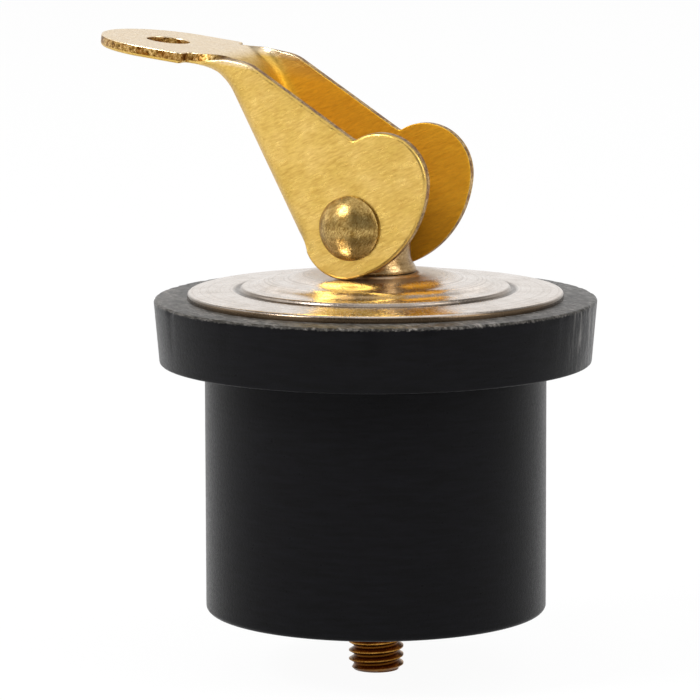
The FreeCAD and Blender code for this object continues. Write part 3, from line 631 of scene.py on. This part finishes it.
for edges, radius, segments in ((outer, DRAWN_IN, 4), (inner, TUMBLED, 2)):
    made = bmesh.ops.bevel(bm, geom=[edge for edge in edges if edge.is_valid], offset=radius * MM,
                           affect="EDGES", segments=segments, profile=0.5, material=-1)
    rounded = set(made["faces"])
    for face in rounded:
        face.material_index = 0
        for edge in face.edges:
            if not rounded.issuperset(edge.link_faces):
                edge.smooth = False
lever = hand_over(bm, "folded_lever", "lever", "sheet_brass", "lever")

# %% [markdown]
# ## Finishes
#
# Colours are written as they are read in a photograph, and one function turns them to the
# linear values that a shader mixes. Another adds a node with its settings and links, and short
# ones built on it write a sum, a ramp or a patch of noise in one line.

# %% Colour and node helpers
def linear(code):
    """A hex colour such as "#E3C567" as linear red, green, blue and alpha."""
    channels = [int(code[i:i + 2], 16) / 255 for i in (1, 3, 5)]
    return [value / 12.92 if value <= 0.04045 else ((value + 0.055) / 1.055) ** 2.4
            for value in channels] + [1.0]


def add(tree, kind, settings=None, **inputs):
    """Add a node, set its properties, and set or link inputs: by name, or _0 for the first."""
    node = tree.nodes.new(kind)
    for name, value in (settings or {}).items():
        setattr(node, name, value)
    for name, value in inputs.items():
        key = int(name[1:]) if name[0] == "_" and name[1:].isdigit() else name.replace("_", " ")
        if isinstance(value, bpy.types.NodeSocket):
            tree.links.new(value, node.inputs[key])
        else:
            node.inputs[key].default_value = value
    return node


def maths(tree, operation, *values):
    """A sum, product or other operation on values or sockets."""
    inputs = {f"_{number}": value for number, value in enumerate(values)}
    return add(tree, "ShaderNodeMath", {"operation": operation}, **inputs).outputs[0]


def vector_maths(tree, operation, one, other=None):
    """A vector operation; a dot product and a length come out as a value."""
    inputs = {"_0": one} if other is None else {"_0": one, "_1": other}
    node = add(tree, "ShaderNodeVectorMath", {"operation": operation}, **inputs)
    return node.outputs["Value" if operation in ("DOT_PRODUCT", "LENGTH") else "Vector"]


def part_of(tree, vector, axis):
    """One component of a vector."""
    return add(tree, "ShaderNodeSeparateXYZ", Vector=vector).outputs[axis]


def roughen(tree, shader, height, strength, depth):
    """Let a pattern move the shader's surface by up to a depth in millimetres."""
    bump = add(tree, "ShaderNodeBump", Strength=strength, Distance=depth * MM, Height=height)
    tree.links.new(bump.outputs["Normal"], shader.inputs["Normal"])


def new_finish(name):
    """An empty material with its output, its shader and the object's own coordinates."""
    material = bpy.data.materials.new(name)
    material.use_nodes = True
    tree = material.node_tree
    tree.nodes.clear()
    shader = add(tree, "ShaderNodeBsdfPrincipled")
    output = add(tree, "ShaderNodeOutputMaterial", Surface=shader.outputs["BSDF"])
    output.is_active_output = True
    place = add(tree, "ShaderNodeTexCoord").outputs["Object"]
    return material, tree, shader, place


def ramp(tree, factor, stops):
    """A colour ramp over hex colours at given positions."""
    node = add(tree, "ShaderNodeValToRGB", Fac=factor)
    elements = node.color_ramp.elements
    while len(elements) < len(stops):
        elements.new(0.5)
    for element, (position, code) in zip(elements, stops):
        element.position = position
        element.color = linear(code)
    return node.outputs["Color"]


def fit_range(tree, value, low, high, to_low=0.0, to_high=1.0):
    """A value moved from one range to another and held inside it."""
    return add(tree, "ShaderNodeMapRange", Value=value, From_Min=low, From_Max=high, To_Min=to_low,
               To_Max=to_high).outputs["Result"]


def blend(tree, factor, one, other, kind="MIX"):
    """Two colours mixed by a factor; either may be a hex colour or a socket."""
    one, other = (linear(colour) if isinstance(colour, str) else colour for colour in (one, other))
    return add(tree, "ShaderNodeMix", {"data_type": "RGBA", "blend_type": kind}, _0=factor, _6=one,
               _7=other).outputs[2]


def cloud(tree, place, width, detail=3.0, roughness=0.55, stretch=None, turn=(0, 0, 0)):
    """Noise with grains of a width in millimetres, drawn out along X after a turn of the axes."""
    if stretch:
        turned = add(tree, "ShaderNodeMapping", Vector=place, Rotation=turn)
        place = add(tree, "ShaderNodeMapping", Vector=turned.outputs[0],
                    Scale=(1 / stretch, 1, 1)).outputs[0]
    return add(tree, "ShaderNodeTexNoise", Vector=place, Scale=per_mm(width), Detail=detail,
               Roughness=roughness).outputs["Fac"]


# %% [markdown]
# The lever was rolled, brushed with a fine wheel and gilded. The brush leaves short scratches
# that climb to the right at 24 degrees, and dents from tumbling leave soft clouds in the tone.
# Between the ears the base colour is a deeper amber: a painted reflection of the light that bounces
# there two or three times off brass. The wheel can't reach inside the fold, so the metal there is
# duller. The top of the tab is painted pale, a painted highlight. The scratches are drawn coarser
# than the real ones, so that they show.

# %% Gilded brass sheet
BRUSH_TURN = (0, math.radians(24), 0)
SCRATCH_WIDTH, STROKE_WIDTH, BRUSH_STRETCH = 0.17, 0.4, 5
INNER_FACE = EAR_Y - SHEET
AMBER_FROM_Y, AMBER_FULL_Y = INNER_FACE + 0.12, INNER_FACE + 0.02
TAB_TOP = TAB_HEIGHT + PIVOT_HEIGHT * tab_up.y
AMBER_FROM, AMBER_FULL = TAB_TOP - 0.3, TAB_TOP - 2.2
TAB_HIGHLIGHT_FROM, TAB_HIGHLIGHT_FULL, TAB_HIGHLIGHT = TAB_TOP - 0.6, TAB_TOP - 0.1, 0.8


def gilded_sheet():
    """Pale gold with diagonal brush marks outside, a painted highlight on the tab's top, and a
    deeper amber painted between the ears for their bounced light.
    """
    material, tree, shader, place = new_finish("gilded brushed brass sheet")
    scratches = cloud(tree, place, SCRATCH_WIDTH, detail=5, roughness=0.7,
                      stretch=BRUSH_STRETCH, turn=BRUSH_TURN)
    strokes = cloud(tree, place, STROKE_WIDTH, detail=3, roughness=0.6,
                    stretch=BRUSH_STRETCH, turn=BRUSH_TURN)
    tumbled = cloud(tree, place, 2.6, detail=4)
    pale = ramp(tree, tumbled, [(0.3, "#CDAC58"), (0.5, "#D5B462"), (0.72, "#DEBE70")])

    # Between the ears the base colour is painted a deeper amber, a painted reflection of light
    # bounced between the brass ears; the same mask makes the metal there rougher.
    across = maths(tree, "ABSOLUTE", part_of(tree, place, "Y"))
    inside = fit_range(tree, across, AMBER_FROM_Y * MM, AMBER_FULL_Y * MM)
    up = vector_maths(tree, "DOT_PRODUCT", place, (tab_up.x, 0, tab_up.y))
    below_tab = fit_range(tree, up, AMBER_FROM * MM, AMBER_FULL * MM)
    amber = maths(tree, "MULTIPLY", inside, below_tab)
    # The top of the tab is painted pale: a painted highlight.
    painted_tab_highlight = fit_range(tree, up, TAB_HIGHLIGHT_FROM * MM, TAB_HIGHLIGHT_FULL * MM, 0.0, TAB_HIGHLIGHT)
    with_tab_highlight = blend(tree, painted_tab_highlight, pale, "#FBEBD0")
    tone = blend(tree, amber, with_tab_highlight, "#E4B236")
    worn = blend(tree, fit_range(tree, scratches, 0.35, 0.75), tone, "#B58E3E", "MULTIPLY")
    tree.links.new(blend(tree, 0.55, tone, worn), shader.inputs["Base Color"])

    marks = maths(tree, "ADD", scratches, strokes)
    brushed = fit_range(tree, marks, 0.75, 1.25, 0.24, 0.42)
    dull = maths(tree, "MULTIPLY_ADD", amber, 0.26, brushed)
    tree.links.new(dull, shader.inputs["Roughness"])
    roughen(tree, shader, marks, 0.5, 0.03)
    shader.inputs["Metallic"].default_value = 1
    return material


gilded = gilded_sheet()

# %% [markdown]
# A punch shears the sheet halfway and tears the rest. The torn edge is rough, takes the gilding
# badly and holds dirt, so it looks brown with bright specks, in streaks across the sheet.

# %% Sheared edge
def sheared_edge():
    """Rough brown-gold, streaked across the thickness of the sheet."""
    material, tree, shader, place = new_finish("sheared brass edge")
    torn = cloud(tree, place, 0.28, detail=5, roughness=0.7)
    dirt_and_groove_shade = cloud(tree, place, 0.9, detail=3)
    tone = ramp(tree, torn, [(0.36, "#5E4318"), (0.5, "#AE8848"), (0.66, "#E0C48C")])
    tone = blend(tree, fit_range(tree, dirt_and_groove_shade, 0.42, 0.62), tone, "#B28F5C", "MULTIPLY")
    tree.links.new(tone, shader.inputs["Base Color"])
    roughen(tree, shader, torn, 0.7, 0.06)
    shader.inputs["Metallic"].default_value = 1
    shader.inputs["Roughness"].default_value = 0.42
    return material


sheared = sheared_edge()

# %% [markdown]
# Rivet, bolt and nut are plain brass, turned and left to brown. The tool leaves fine rings round
# the axis. On the thread the colour follows the distance from the bolt's axis: the roots are
# painted dark as shade, and the crests keep the lighter tone as a painted highlight.

# %% Turned brass
RING_WIDTH, RUB_WIDTH = 0.16, 0.12
RUB_TURN = (0, math.radians(50), 0)
RING_SHARE = 0.35


def turned_brass(name, around, centre, dark, light, crest=None):
    """Browned brass with rings round an axis, "Y" or "Z", through a centre."""
    material, tree, shader, place = new_finish(name)
    moved = vector_maths(tree, "SUBTRACT", place, centre)
    flat = (1, 0, 1) if around == "Y" else (1, 1, 0)
    radius = vector_maths(tree, "LENGTH", vector_maths(tree, "MULTIPLY", moved, flat))
    along_axis = part_of(tree, moved, around)
    section = add(tree, "ShaderNodeCombineXYZ", X=radius, Y=along_axis).outputs[0]
    rings = cloud(tree, section, RING_WIDTH, detail=3, roughness=0.5)
    rubs = cloud(tree, place, RUB_WIDTH, detail=4, roughness=0.7, stretch=3, turn=RUB_TURN)
    marks = maths(tree, "MULTIPLY_ADD", rings, RING_SHARE, rubs)
    stains = cloud(tree, place, 0.8, detail=5, roughness=0.6)
    tone = ramp(tree, stains, [(0.3, dark), (0.68, light)])
    tone = blend(tree, fit_range(tree, marks, 0.5, 0.85), tone, "#A08C6E", "MULTIPLY")
    # The thread's roots are painted dark as shade and its crests keep the lighter tone: painted
    # shade and painted highlight.
    if crest:
        low, high = crest
        crest_light_root_shade = fit_range(tree, radius, low * MM, high * MM)
        tone = blend(tree, crest_light_root_shade, "#6A4013", tone)
    tree.links.new(tone, shader.inputs["Base Color"])
    tree.links.new(fit_range(tree, marks, 0.45, 0.9, 0.22, 0.36), shader.inputs["Roughness"])
    roughen(tree, shader, marks, 0.4, 0.02)
    shader.inputs["Metallic"].default_value = 1
    return material


browned_rivet = turned_brass("browned brass rivet", "Y", pivot, "#9E8044", "#D0B474")
browned_bolt = turned_brass("browned turned brass", "Z", (0, 0, 0), "#9C8056", "#C8AC80")
browned_thread = turned_brass("brass thread with painted root shade", "Z", (0, 0, 0), "#9A6A28", "#DCA652",
                              (THREAD_CORE_R + 0.12, SHANK_R - 0.05))

# %% [markdown]
# The plate is pressed from steel and nickel plated: a warm white mirror, blurred by fine rings from
# polishing on a spindle and by soft stains. The groove holds a dark ring of painted shade, the
# rolled rim is painted darker as shade, and the cams have rubbed their track round the hub a little
# duller and browner.

# %% Plated steel
POLISH_WIDTH = 0.35
GROOVE_SHADE_NEAR, GROOVE_SHADE_FAR = 0.15, 0.5
RIM_SHADE_FROM, RIM_SHADE_FULL = band_end - 0.03, band_end - 0.2
WORN_FROM_R, WORN_FULL_R = TRACK_OUT_R + 1.6, TRACK_OUT_R - 0.6


def plated_steel():
    """Nickel plating: nearly a mirror, with polishing rings and stains."""
    material, tree, shader, place = new_finish("nickel plated steel")
    radius = vector_maths(tree, "LENGTH", vector_maths(tree, "MULTIPLY", place, (1, 1, 0)))
    line = add(tree, "ShaderNodeCombineXYZ", X=radius).outputs[0]
    rings = cloud(tree, line, POLISH_WIDTH, detail=5, roughness=0.65)
    stains = cloud(tree, place, 2.2, detail=6, roughness=0.65)
    specks = cloud(tree, place, 0.3, detail=4, roughness=0.7)
    tone = ramp(tree, stains, [(0.3, "#C6BAAD"), (0.5, "#DDD2C8"), (0.7, "#E8E0D8")])
    tone = blend(tree, fit_range(tree, rings, 0.5, 0.75), tone, "#B3A698", "MULTIPLY")

    # A dark ring of painted shade lies in the groove.
    from_groove = maths(tree, "ABSOLUTE", maths(tree, "SUBTRACT", radius, GROOVE_R * MM))
    dirt_and_groove_shade = fit_range(tree, from_groove, GROOVE_SHADE_FAR * MM, GROOVE_SHADE_NEAR * MM)
    tone = blend(tree, dirt_and_groove_shade, tone, "#6E6252", "MULTIPLY")
    height = part_of(tree, place, "Z")
    rim_shade = fit_range(tree, height, RIM_SHADE_FROM * MM, RIM_SHADE_FULL * MM)
    tone = blend(tree, rim_shade, tone, "#5A4B3A")
    track_wear = fit_range(tree, radius, WORN_FROM_R * MM, WORN_FULL_R * MM)
    tone = blend(tree, track_wear, tone, "#DDD0BC", "MULTIPLY")
    tree.links.new(tone, shader.inputs["Base Color"])

    polish = fit_range(tree, specks, 0.3, 0.7, 0.14, 0.32)
    dulled = maths(tree, "MULTIPLY_ADD", track_wear, 0.1, polish)
    tree.links.new(dulled, shader.inputs["Roughness"])
    roughen(tree, shader, maths(tree, "ADD", rings, specks), 0.28, 0.02)
    shader.inputs["Metallic"].default_value = 1
    return material


nickel = plated_steel()

# %% [markdown]
# Nitrile rubber filled with soot is nearly black. The mould leaves it smooth but dull, with flow
# lines round the barrel. The top was trimmed, and the cut face is grey and fibrous, with pale
# crumbs along its edge. On the flange's right-hand side, light vertical streaks are a painted
# highlight.

# %% Rubber
FLOW_DRAWN, SHEEN_STREAKS_DRAWN = (0.12, 0.12, 1), (1, 1, 0.1)
FIBRE_TURN = (0, 0, math.radians(35))
TRIM_FROM, TRIM_FULL, TRIM_WAVER = FLANGE_TOP - 0.02, FLANGE_TOP + 0.1, 0.5
PAINTED_SHEEN_WAY = (0.91, 0.415, 0)
PAINTED_SHEEN_FROM, PAINTED_SHEEN_FULL = 16.8, 19.0


def nitrile_rubber():
    """Soot-black moulded sides with flow lines, and a grey trimmed top."""
    material, tree, shader, place = new_finish("moulded nitrile rubber")
    flow_place = add(tree, "ShaderNodeMapping", Vector=place, Scale=FLOW_DRAWN).outputs[0]
    flow = cloud(tree, flow_place, 0.35, detail=5, roughness=0.65)
    pores = cloud(tree, place, 0.3, detail=4, roughness=0.7)
    fibres = cloud(tree, place, 0.4, detail=6, roughness=0.75, stretch=3, turn=FIBRE_TURN)
    side = ramp(tree, flow, [(0.35, "#080809"), (0.7, "#0D0D10")])
    top = ramp(tree, fibres, [(0.36, "#0C0B0A"), (0.48, "#35332F"), (0.57, "#565350"),
                              (0.7, "#918C86")])

    edge = maths(tree, "MULTIPLY_ADD", pores, TRIM_WAVER * MM, part_of(tree, place, "Z"))
    trimmed = fit_range(tree, edge, TRIM_FROM * MM, TRIM_FULL * MM)
    # Light vertical streaks on the flange's right-hand side are a painted highlight.
    sheen_streak_place = add(tree, "ShaderNodeMapping", Vector=place, Scale=SHEEN_STREAKS_DRAWN).outputs[0]
    sheen_streaks = fit_range(tree, cloud(tree, sheen_streak_place, 0.5, detail=3), 0.5, 0.66)
    reach = vector_maths(tree, "DOT_PRODUCT", place, PAINTED_SHEEN_WAY)
    on_painted_sheen_side = fit_range(tree, reach, PAINTED_SHEEN_FROM * MM, PAINTED_SHEEN_FULL * MM)
    side = blend(tree, maths(tree, "MULTIPLY", sheen_streaks, on_painted_sheen_side), side, "#6A6866")
    tree.links.new(blend(tree, trimmed, side, top), shader.inputs["Base Color"])

    tree.links.new(fit_range(tree, pores, 0.3, 0.7, 0.26, 0.44), shader.inputs["Roughness"])
    moulded = maths(tree, "ADD", pores, flow)
    roughen(tree, shader, maths(tree, "MULTIPLY_ADD", fibres, trimmed, moulded), 0.4, 0.05)
    shader.inputs["IOR"].default_value = 1.52
    shader.inputs["Specular IOR Level"].default_value = 0.06
    shader.inputs["Sheen Weight"].default_value = 0.13
    shader.inputs["Sheen Roughness"].default_value = 0.3
    return material


nitrile = nitrile_rubber()


# %% Give each piece its finish
def finish(piece, *materials):
    """Put one finish on each slot of a piece."""
    while len(piece.material_slots) < len(materials):
        piece.data.materials.append(None)
    for number, slot in enumerate(piece.material_slots):
        slot.link = "OBJECT"
        slot.material = materials[min(number, len(materials) - 1)]


finish(lever, gilded, sheared)
finish(rivet, browned_rivet)
finish(post, browned_bolt)
finish(thread, browned_thread)
finish(nodes["anchor_nut"], browned_bolt)
finish(plate, nickel)
finish(rubber, nitrile)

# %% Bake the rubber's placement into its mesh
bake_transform(rubber)

# %% [markdown]
# ## Studio
#
# The plug was photographed on white, from a little above its flange. The floor and the world
# are white to the camera, while their light on the object stays moderate, so that brass and
# rubber keep the colours they are given. In reflections they get darker upwards and towards the
# camera, or the plate and the ears would show nothing but white. Only the gap under the stud is
# in millimetres here, and the rest is in metres.

# %% Floor and world
FLOOR_GAP = 0.05
FLOOR_SIZE = 4.0
FLOOR_SEEN = 0.95
FLOOR_MIRRORED_FRONT, FLOOR_MIRRORED_BACK = 0.28, 0.95
FADE_FROM_Y, FADE_TO_Y = -0.05, 0.1
WORLD_LIGHT = 0.45
WORLD_DIMS_FROM_Y, WORLD_DIMS_TO_Y, WORLD_DIMMED = 0.1, -0.5, 0.36


def kinds_of_ray(tree):
    """Whether a ray comes from the camera, and whether it comes off a mirror."""
    path = add(tree, "ShaderNodeLightPath")
    return path.outputs["Is Camera Ray"], path.outputs["Is Glossy Ray"]


def white_in_view(tree, shader, seen_share, mirrored_share):
    """Mix a shader towards plain white, by one share for the camera and one for mirrors."""
    seen, reflected = kinds_of_ray(tree)
    mirrored = maths(tree, "MULTIPLY", reflected, mirrored_share)
    share = maths(tree, "MULTIPLY_ADD", seen, seen_share, mirrored)
    white = add(tree, "ShaderNodeEmission", Color=(1, 1, 1, 1), Strength=1.0).outputs[0]
    return add(tree, "ShaderNodeMixShader", _0=share, _1=shader, _2=white).outputs[0]


bm = bmesh.new()
bmesh.ops.create_grid(bm, x_segments=1, y_segments=1, size=FLOOR_SIZE,
                      matrix=Matrix.Translation(mm(0, 0, STUD_TIP - FLOOR_GAP)))
floor_mesh = bpy.data.meshes.new("floor")
bm.to_mesh(floor_mesh)
bm.free()
floor = bpy.data.objects.new("floor", floor_mesh)
bpy.context.scene.collection.objects.link(floor)

paper = bpy.data.materials.new("white paper")
paper.use_nodes = True
tree = paper.node_tree
tree.nodes.clear()
matt = add(tree, "ShaderNodeBsdfDiffuse", Color=linear("#F4F4F4")).outputs[0]
depth = part_of(tree, add(tree, "ShaderNodeTexCoord").outputs["Object"], "Y")
behind = fit_range(tree, depth, FADE_FROM_Y, FADE_TO_Y, FLOOR_MIRRORED_FRONT, FLOOR_MIRRORED_BACK)
add(tree, "ShaderNodeOutputMaterial", Surface=white_in_view(tree, matt, FLOOR_SEEN, behind))
floor_mesh.materials.append(paper)

world = bpy.data.worlds.new("white studio")
bpy.context.scene.world = world
world.use_nodes = True
tree = world.node_tree
tree.nodes.clear()
seen, reflected = kinds_of_ray(tree)
heading = add(tree, "ShaderNodeTexCoord").outputs["Object"]
level = ramp(tree, part_of(tree, heading, "Z"), [(0.0, "#FFFFFF"), (0.36, "#F6F6F6"),
                                                 (0.55, "#A6A6A6"), (0.75, "#8A8A8A"),
                                                 (1.0, "#B4B4B4")])
dimmed = fit_range(tree, part_of(tree, heading, "Y"), WORLD_DIMS_FROM_Y, WORLD_DIMS_TO_Y,
                   1.0, WORLD_DIMMED)
mirrored = maths(tree, "MULTIPLY", level, dimmed)
unseen = add(tree, "ShaderNodeMix", _0=reflected, _2=WORLD_LIGHT, _3=mirrored).outputs[0]
strength = add(tree, "ShaderNodeMix", _0=seen, _2=unseen, _3=1.0).outputs[0]
background = add(tree, "ShaderNodeBackground", Color=(1, 1, 1, 1), Strength=strength)
add(tree, "ShaderNodeOutputWorld", Surface=background.outputs[0])

# %% Lamps
LAMP_DISTANCE = 0.9


def direction(azimuth, elevation):
    """The way from the plug out to a lamp or the camera; azimuth 0 is in front, 90 on its right."""
    turn, rise = math.radians(azimuth), math.radians(elevation)
    return Vector((math.sin(turn) * math.cos(rise), -math.cos(turn) * math.cos(rise),
                   math.sin(rise)))


def softbox(name, azimuth, elevation, width, height, power):
    """A rectangular lamp that faces the plug, with its sizes in metres and its power in watts."""
    away = direction(azimuth, elevation)
    lamp = bpy.data.lights.new(name, "AREA")
    lamp.shape = "RECTANGLE"
    lamp.size, lamp.size_y = width, height
    lamp.energy = power
    item = bpy.data.objects.new(name, lamp)
    item.location = away * LAMP_DISTANCE
    item.rotation_euler = away.to_track_quat("Z", "Y").to_euler()
    bpy.context.scene.collection.objects.link(item)


softbox("left_softbox", -75, 25, 0.6, 0.7, 1.4)
softbox("right_softbox", 84, 28, 0.4, 0.6, 2.8)
softbox("front_softbox", -28, 12, 0.6, 0.4, 0.55)
softbox("key_softbox", -38, 40, 0.26, 0.26, 5.2)
softbox("back_softbox", -158, 34, 0.8, 0.3, 0.5)
softbox("top_softbox", 60, 70, 1.2, 1.2, 4.5)

# %% [markdown]
# ## Camera
#
# The place of the camera was found by matching the round edges of the flange and the plate with
# the ellipses of the photograph: 8 degrees above the flange and 25 degrees to the right of the
# rivet's axis, with a long lens 42 centimetres away. The middle of the flange's top falls at
# AIM_X, AIM_Y in the frame, in pixels. DISTANCE, FOCAL and SENSOR_WIDTH are in millimetres.

# %% Camera
AZIMUTH, ELEVATION, ROLL = 24.55, 7.81, -0.11
DISTANCE = 421.4
FOCAL = 239.3
AIM_X, AIM_Y = 375.5, 297.3
FRAME_SIZE = 700
SENSOR_WIDTH = 36

camera_data = bpy.data.cameras.new("camera")
camera_data.lens = FOCAL
camera_data.sensor_width = SENSOR_WIDTH
camera_data.clip_start = 0.01
camera_data.shift_x = (FRAME_SIZE / 2 - AIM_X) / FRAME_SIZE
camera_data.shift_y = (AIM_Y - FRAME_SIZE / 2) / FRAME_SIZE
camera = bpy.data.objects.new("camera", camera_data)
away = direction(AZIMUTH, ELEVATION)
camera.matrix_world = (Matrix.Translation(mm(0, 0, FLANGE_TOP) + away * DISTANCE * MM)
                       @ away.to_track_quat("Z", "Y").to_matrix().to_4x4()
                       @ Matrix.Rotation(math.radians(ROLL), 4, "Z"))
bpy.context.scene.collection.objects.link(camera)
bpy.context.scene.camera = camera
bpy.context.scene.view_settings.view_transform = "Standard"
